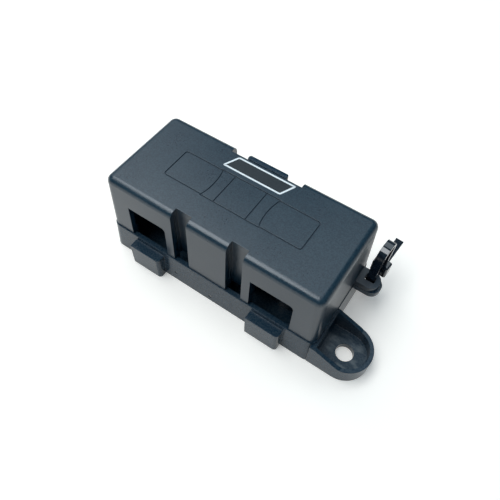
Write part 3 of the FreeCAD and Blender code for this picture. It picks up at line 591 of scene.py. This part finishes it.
@dataclass(frozen=True)
class WhitePrint:
    """Thin white ink, a little worn.

    Attributes:
        name: the material's name.
        ink: colour of the ink.
        thin: its colour where it is thin.
        grain: size of one grain of the ink, in metres.
        grain_depth: depth of the grain, in metres.
        thin_level: level of the grain above which the ink is thin.
        thin_spread: how softly a thin place begins.
        roughness: of the ink between its grains.
        roughness_swing: how much a grain adds to it.
    """

    name: str = "white_print"
    ink: Colour = (0.88, 0.92, 0.93)
    thin: Colour = (0.60, 0.66, 0.69)
    grain: float = 0.35 * MM
    grain_depth: float = 0.01 * MM
    thin_level: float = 0.6
    thin_spread: float = 0.08
    roughness: float = 0.42
    roughness_swing: float = 0.2

    def make(self) -> bpy.types.Material:
        """Builds the material and returns it."""
        material, tree = new_material(self.name)
        grain = tree.noise(self.grain, detail=FINE_DETAIL)
        thin = grain.above(self.thin_level, self.thin_spread)
        bump = tree.node("ShaderNodeBump", {}, {"Distance": self.grain_depth, "Height": grain})
        tree.surface(
            {
                "Base Color": tree.mix_colour(thin, self.ink, self.thin),
                "Roughness": (self.roughness + grain * self.roughness_swing).clamped(),
                "Normal": bump.outputs[0],
            }
        )
        return material


@dataclass(frozen=True)
class StudioFloor:
    """The pale floor: lit by the lamps, and lifted to the photograph's white where it is seen.

    Attributes:
        name: the material's name.
        colour: of the floor.
        glow: colour of the light that is seen on top of the lit floor.
        lift: level of that light, where 1 is white.
    """

    name: str = "studio_floor"
    colour: Colour = (0.95, 0.895, 0.83)
    glow: Colour = (1.0, 0.985, 0.955)
    lift: float = 0.29

    def make(self) -> bpy.types.Material:
        """Builds the material and returns it."""
        material, tree = new_material(self.name)
        rays = tree.node("ShaderNodeLightPath").outputs
        seen = (Signal(tree, rays["Is Camera Ray"]) + Signal(tree, rays["Is Glossy Ray"])).clamped()
        seen = (seen + Signal(tree, rays["Is Transmission Ray"])).clamped()
        lit = tree.node("ShaderNodeBsdfDiffuse", {}, {"Color": (*self.colour, 1.0)}).outputs[0]
        glow = {"Color": (*self.glow, 1.0), "Strength": seen * self.lift}
        white = tree.node("ShaderNodeEmission", {}, glow).outputs[0]
        both = tree.node("ShaderNodeAddShader", {}, {0: lit, 1: white}).outputs[0]
        tree.node("ShaderNodeOutputMaterial", {}, {"Surface": both})
        return material


def base_plastic() -> bpy.types.Material:
    """Makes the glossy plastic of the base."""
    return HousingPlastic(
        "base_gloss_black",
        deep=(0.004, 0.024, 0.046),
        dry=(0.100, 0.125, 0.142),
        roughness=0.18,
        roughness_swing=0.12,
        grain=0.6 * MM,
        grain_depth=0.014 * MM,
        edge=0.30 * MM,
        specular=0.28,
    ).make()


def cover_plastic() -> bpy.types.Material:
    """Makes the matt plastic of the cover."""
    return CoverPlastic(
        "cover_matt_black",
        deep=(0.001, 0.015, 0.031),
        dry=(0.022, 0.054, 0.076),
        roughness=0.30,
        roughness_swing=0.09,
        grain=0.5 * MM,
        grain_depth=0.034 * MM,
        edge=0.20 * MM,
        specular=0.66,
    ).make()


def tie_nylon() -> bpy.types.Material:
    """Makes the shiny nylon of the cable tie."""
    return MouldedPlastic(
        "tie_black_nylon",
        deep=(0.003, 0.008, 0.015),
        dry=(0.012, 0.018, 0.026),
        roughness=0.07,
        roughness_swing=0.04,
        grain=0.8 * MM,
        grain_depth=0.003 * MM,
        edge=0.16 * MM,
        specular=0.9,
    ).make()


def zinc(name: str, pitch: float = 0.0, depth: float = 0.0) -> bpy.types.Material:
    """Makes a zinc plating.

    Args:
        name: the material's name.
        pitch: of the thread in it, in metres, 0 for none.
        depth: of that thread, in metres.

    Returns:
        The material.
    """
    return PlatedMetal(
        name,
        bright=(0.66, 0.66, 0.64),
        dull=(0.42, 0.42, 0.41),
        roughness=0.28,
        thread_pitch=pitch,
        thread_depth=depth,
    ).make()


def stud_zinc() -> bpy.types.Material:
    """Makes the threaded zinc plating of the studs."""
    return zinc("zinc_thread", pitch=1.25 * MM, depth=0.45 * MM)


def plain_zinc() -> bpy.types.Material:
    """Makes the plain zinc plating of the washers and nuts."""
    return zinc("zinc_plate")


def strip_tin() -> bpy.types.Material:
    """Makes the brushed tin plating of the fuse strip."""
    return PlatedMetal(
        "tinned_strip",
        bright=(0.74, 0.73, 0.70),
        dull=(0.50, 0.50, 0.48),
        roughness=0.32,
        brushed=(0.12, 1.0, 1.0),
    ).make()


def case_plastic() -> bpy.types.Material:
    """Makes the pale grey plastic of the fuse case."""
    return MouldedPlastic(
        "fuse_case_grey",
        deep=(0.40, 0.41, 0.40),
        dry=(0.52, 0.53, 0.52),
        roughness=0.5,
        roughness_swing=0.1,
        grain=0.4 * MM,
        grain_depth=0.02 * MM,
        edge=0.25 * MM,
    ).make()


def white_ink() -> bpy.types.Material:
    """Makes the white ink of the printed frame."""
    return WhitePrint().make()


def black_ink() -> bpy.types.Material:
    """Makes the black ink inside the printed frame."""
    return MouldedPlastic(
        "black_print",
        deep=(0.004, 0.011, 0.016),
        dry=(0.014, 0.024, 0.032),
        roughness=0.42,
        roughness_swing=0.1,
        grain=0.5 * MM,
        grain_depth=0.02 * MM,
        edge=0.02 * MM,
    ).make()


@dataclass(frozen=True)
class Finishes:
    """All finishes of the part, each made once.

    Attributes:
        base: of the base.
        cover: of the cover.
        tie: of the cable tie.
        stud: of the studs.
        steel: of the washers and nuts.
        strip: of the fuse strip.
        case: of the fuse case.
        white_ink: of the printed frame.
        black_ink: of the field inside it.
    """

    base: bpy.types.Material = field(default_factory=base_plastic)
    cover: bpy.types.Material = field(default_factory=cover_plastic)
    tie: bpy.types.Material = field(default_factory=tie_nylon)
    stud: bpy.types.Material = field(default_factory=stud_zinc)
    steel: bpy.types.Material = field(default_factory=plain_zinc)
    strip: bpy.types.Material = field(default_factory=strip_tin)
    case: bpy.types.Material = field(default_factory=case_plastic)
    white_ink: bpy.types.Material = field(default_factory=white_ink)
    black_ink: bpy.types.Material = field(default_factory=black_ink)


def paint(obj: bpy.types.Object, material: bpy.types.Material) -> None:
    """Gives an object one finish all over.

    Args:
        obj: a CAD node or a piece.
        material: its finish.
    """
    if not obj.data.materials:
        obj.data.materials.append(material)
    for number in range(len(obj.data.materials)):
        obj.data.materials[number] = material


@dataclass
class Sketch:
    """One piece while it is modelled with Blender's own operators, in edit mode.

    Attributes:
        name: the piece's name.
        obj: the object, set when a primitive is added.
    """

    name: str
    obj: bpy.types.Object | None = None

    def plane(self, centre: Vector, width: float, depth: float, slant: float = 0.0) -> None:
        """Starts from a level rectangle, or one with slanted ends.

        Args:
            centre: its middle.
            width: its size along x.
            depth: its size along y.
            slant: how far its back edge stands to the right of its front edge.
        """
        bpy.ops.object.select_all(action="DESELECT")
        bpy.ops.mesh.primitive_plane_add(size=1.0, location=centre)
        self.obj = bpy.context.active_object
        self.obj.name = self.name
        self.obj.scale = (width, depth, 1.0)
        bpy.ops.object.transform_apply(location=True, rotation=True, scale=True)
        for corner in self.obj.data.vertices:
            corner.co.x += math.copysign(slant / 2, corner.co.y - centre.y)
        bpy.ops.object.mode_set(mode="EDIT")
        bpy.ops.mesh.select_all(action="SELECT")

    def round_corners(self, radius: float, steps: int = 6) -> None:
        """Rounds the outline's corners.

        Args:
            radius: of each corner.
            steps: number of edges in it.
        """
        bpy.ops.mesh.bevel(offset=radius, offset_type="OFFSET", segments=steps, affect="VERTICES")

    def open_middle(self, line: float) -> None:
        """Leaves only a line of the face along its outline.

        Args:
            line: the line's width.
        """
        bpy.ops.mesh.inset(thickness=line, depth=0.0)
        bpy.ops.mesh.delete(type="FACE")

    def raise_all(self, height: float) -> None:
        """Gives the flat shape a thickness upwards.

        Args:
            height: its thickness.
        """
        bpy.ops.mesh.select_all(action="SELECT")
        bpy.ops.mesh.extrude_region_move(TRANSFORM_OT_translate={"value": (0.0, 0.0, height)})
        bpy.ops.mesh.select_all(action="SELECT")
        bpy.ops.mesh.normals_make_consistent(inside=False)

    def done(self, body: Body, material: bpy.types.Material) -> bpy.types.Object:
        """Leaves edit mode and hands the piece over.

        Args:
            body: the body that it rides on.
            material: its finish.

        Returns:
            The piece.
        """
        bpy.ops.object.mode_set(mode="OBJECT")
        bpy.ops.object.select_all(action="DESELECT")
        paint(self.obj, material)
        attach(self.obj, body.value)
        log.info("piece %s: %d faces", self.name, len(self.obj.data.polygons))
        return self.obj


@dataclass
class BaseHousing:
    """The base with its ears, ledges and latch finger.

    Attributes:
        finishes: all finishes.
        lead_width: width of the latch finger.
        lead_inset: how much narrower the fill is than the finger.
        lead_front: inner face of the finger's hook, across the box.
        lead_back: inner face of its stem, across the box.
        lead_foot: height where the slope on the hook starts.
        lead_top: height of the finger's end.
    """

    finishes: Finishes
    lead_width: float = 16.2 * MM
    lead_inset: float = 0.2 * MM
    lead_front: float = 16.5 * MM
    lead_back: float = 17.1 * MM
    lead_foot: float = 36.4 * MM
    lead_top: float = 37.6 * MM

    def dress(self) -> None:
        """Gives the base its finish."""
        paint(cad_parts["base_housing"], self.finishes.base)
        log.info("dressed base_housing")

    def fill_latch(self) -> None:
        """Fills the slope on the hook, so that the finger's end is the flat one of the photograph."""
        middle = Vector((0.0, (self.lead_front + self.lead_back) / 2, self.lead_foot))
        sketch = Sketch("latch_end")
        sketch.plane(middle, self.lead_width - self.lead_inset, self.lead_back - self.lead_front)
        sketch.raise_all(self.lead_top - self.lead_foot)
        sketch.done(Body.BASE, self.finishes.base)


@dataclass
class Terminals:
    """The two studs with their washers and nuts.

    Attributes:
        finishes: all finishes.
        sides: the sides, as the CAD nodes name them.
    """

    finishes: Finishes
    sides: tuple[str, ...] = ("right", "left")

    def dress(self) -> None:
        """Gives the threaded studs and the plated pieces on them their finishes."""
        for side in self.sides:
            paint(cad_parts[f"{side}_stud"], self.finishes.stud)
            for piece in ("flat_washer", "spring_washer", "nut"):
                paint(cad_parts[f"{side}_{piece}"], self.finishes.steel)
            log.info("dressed the %s stud, its washers and nut", side)


@dataclass
class Fuse:
    """The fuse strip in its two-part case.

    Attributes:
        finishes: all finishes.
    """

    finishes: Finishes

    def dress(self) -> None:
        """Gives the strip and the case their finishes."""
        paint(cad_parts["fuse_strip"], self.finishes.strip)
        paint(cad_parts["fuse_case_lower"], self.finishes.case)
        paint(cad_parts["fuse_case_upper"], self.finishes.case)
        log.info("dressed the fuse")


@dataclass
class Cover:
    """The cover and the print on its top.

    Attributes:
        finishes: all finishes.
        frame_left: left end of the printed frame, at half its depth.
        frame_right: its right end, at half its depth.
        slant: how far the frame's back edge stands to the right of its front edge.
        frame_front: its front edge.
        frame_back: its back edge.
        line: width of the printed lines.
        corner: radius of the frame's corners.
        ink: thickness of the ink of the lines.
        field_ink: thickness of the ink between them.
    """

    finishes: Finishes
    frame_left: float = -12.1 * MM
    frame_right: float = 11.6 * MM
    frame_front: float = 8.9 * MM
    frame_back: float = 15.2 * MM
    slant: float = 2.9 * MM
    line: float = 0.68 * MM
    corner: float = 0.7 * MM
    ink: float = 0.03 * MM
    field_ink: float = 0.015 * MM

    def dress(self) -> None:
        """Gives the cover its finish."""
        paint(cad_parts["cover"], self.finishes.cover)
        log.info("dressed cover")

    def print_frame(self) -> None:
        """Prints the dark field and the rounded frame round it on the cover's top."""
        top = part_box("cover")[1].z
        width = self.frame_right - self.frame_left
        depth = self.frame_back - self.frame_front
        middle_x = (self.frame_left + self.frame_right) / 2
        middle_y = (self.frame_front + self.frame_back) / 2
        middle = Vector((middle_x, middle_y, top))
        dark = Sketch("printed_field")
        dark.plane(middle, width - self.line, depth - self.line, self.slant)
        dark.raise_all(self.field_ink)
        dark.done(Body.LID, self.finishes.black_ink)
        white = Sketch("printed_frame")
        white.plane(middle, width, depth, self.slant)
        white.round_corners(self.corner)
        white.open_middle(self.line)
        white.raise_all(self.ink)
        white.done(Body.LID, self.finishes.white_ink)


@dataclass
class CableTie:
    """The cable tie through the two eyes.

    Attributes:
        finishes: all finishes.
    """

    finishes: Finishes

    def dress(self) -> None:
        """Gives the tie its finish."""
        paint(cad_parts["cable_tie"], self.finishes.tie)
        log.info("dressed cable_tie")


@dataclass(frozen=True)
class Lamp:
    """One soft lamp.

    Attributes:
        name: the lamp's name.
        place: where it hangs.
        width: its width.
        height: its height.
        power: its power in watts.
        colour: its colour.
    """

    name: str
    place: Triple
    width: float
    height: float
    power: float
    colour: Colour

    def hang(self, lit_point: Vector) -> None:
        """Hangs the lamp.

        Args:
            lit_point: the point that it faces.
        """
        lamp = bpy.data.lights.new(self.name, "AREA")
        lamp.shape = "RECTANGLE"
        lamp.size = self.width
        lamp.size_y = self.height
        lamp.energy = self.power
        lamp.color = self.colour
        hung = bpy.data.objects.new(self.name, lamp)
        hung.location = self.place
        hung.rotation_euler = (lit_point - Vector(self.place)).to_track_quat("-Z", "Y").to_euler()
        bpy.context.scene.collection.objects.link(hung)


@dataclass
class Studio:
    """Floor, lamps, sky and camera, as in the photograph.

    Attributes:
        floor_side: side of the floor.
        lamps: the lamps.
        sky_low: colour and level of the light from just above the floor.
        sky_high: colour and level of the light from above.
        sky_turn: height of a direction, from 0 to 1, where the sky turns from low to high.
        sky_spread: how far on both sides of it the turn takes.
        camera_place: where the camera stands.
        camera_forward: the way it looks.
        camera_right: the way to the right in its picture.
        focal_pixels: focal length in pixels of the photograph.
        middle_pixels: the pixel that the lens axis meets.
        sensor: width of the sensor, in millimetres.
        nearest: distance from which the camera sees.
        farthest: distance up to which it sees.
        lit_point: the point that every lamp faces.
    """

    floor_side: float = 6.0
    lamps: tuple[Lamp, ...] = (
        Lamp("overhead", (-0.38, -0.13, 1.18), width=1.20, height=0.68, power=13.2, colour=(0.92, 0.97, 1.0)),
        Lamp("back", (-0.02, 0.62, 1.05), width=0.45, height=0.40, power=0.8, colour=(0.84, 0.94, 1.0)),
        Lamp("left", (-0.90, 0.50, 1.0), width=0.8, height=0.8, power=2.0, colour=(0.90, 0.96, 1.0)),
    )
    sky_low: Colour = (0.78, 0.76, 0.73)
    sky_high: Colour = (0.09, 0.15, 0.20)
    sky_turn: float = 0.07
    sky_spread: float = 0.06
    camera_place: Vector = field(default_factory=lambda: Vector((59.221, -88.570, 168.871)) * MM)
    camera_forward: Vector = field(default_factory=lambda: Vector((-0.29737, 0.47215, -0.82985)))
    camera_right: Vector = field(default_factory=lambda: Vector((0.82575, 0.56350, 0.02470)))
    focal_pixels: float = 505.05
    middle_pixels: tuple[float, float] = (246.476, 244.174)
    sensor: float = 36.0
    nearest: float = 0.01
    farthest: float = 20.0
    lit_point: Vector = field(default_factory=lambda: Vector((0.0, 0.0, 0.02)))

    def lay_floor(self) -> None:
        """Lays the pale floor under the part."""
        bpy.ops.object.select_all(action="DESELECT")
        bpy.ops.mesh.primitive_plane_add(size=self.floor_side, location=(0.0, 0.0, 0.0))
        floor = bpy.context.active_object
        floor.name = "floor"
        paint(floor, StudioFloor().make())

    def light(self) -> None:
        """Hangs the lamps and sets the light from all round."""
        for lamp in self.lamps:
            lamp.hang(self.lit_point)
        world = bpy.data.worlds.new("studio")
        world.use_nodes = True
        tree = ShaderTree(world.node_tree)
        way = tree.node("ShaderNodeTexCoord").outputs["Generated"]
        height = Signal(tree, tree.node("ShaderNodeSeparateXYZ", {}, {"Vector": way}).outputs["Z"])
        sky = tree.mix_colour(height.above(self.sky_turn, self.sky_spread), self.sky_low, self.sky_high)
        shine = tree.node("ShaderNodeBackground", {}, {"Color": sky, "Strength": 1.0})
        tree.node("ShaderNodeOutputWorld", {}, {"Surface": shine.outputs[0]})
        bpy.context.scene.world = world

    def place_camera(self) -> None:
        """Puts the camera where the photograph was taken from."""
        data = bpy.data.cameras.new("camera")
        data.sensor_width = self.sensor
        data.lens = self.focal_pixels * self.sensor / PHOTO_SIDE
        data.shift_x = (PHOTO_SIDE / 2 - self.middle_pixels[0]) / PHOTO_SIDE
        data.shift_y = -(PHOTO_SIDE / 2 - self.middle_pixels[1]) / PHOTO_SIDE
        data.clip_start = self.nearest
        data.clip_end = self.farthest
        camera = bpy.data.objects.new("camera", data)
        back = -self.camera_forward.normalized()
        right = (self.camera_right - back * self.camera_right.dot(back)).normalized()
        up = back.cross(right)
        turn = Matrix((right, up, back)).transposed()
        camera.matrix_world = Matrix.Translation(self.camera_place) @ turn.to_4x4()
        bpy.context.scene.collection.objects.link(camera)
        bpy.context.scene.camera = camera

    def build(self) -> None:
        """Sets up the whole studio."""
        self.lay_floor()
        self.light()
        self.place_camera()
        bpy.context.scene.view_settings.view_transform = "Standard"
        log.info("studio ready")


def main() -> None:
    """Builds and dresses every piece in order."""
    logging.basicConfig(level=logging.INFO, format="%(name)s: %(message)s")
    finishes = Finishes()
    base = BaseHousing(finishes)
    base.dress()
    base.fill_latch()
    Terminals(finishes).dress()
    Fuse(finishes).dress()
    cover = Cover(finishes)
    cover.dress()
    cover.print_frame()
    CableTie(finishes).dress()
    Studio().build()


if __name__ == "__main__":
    main()
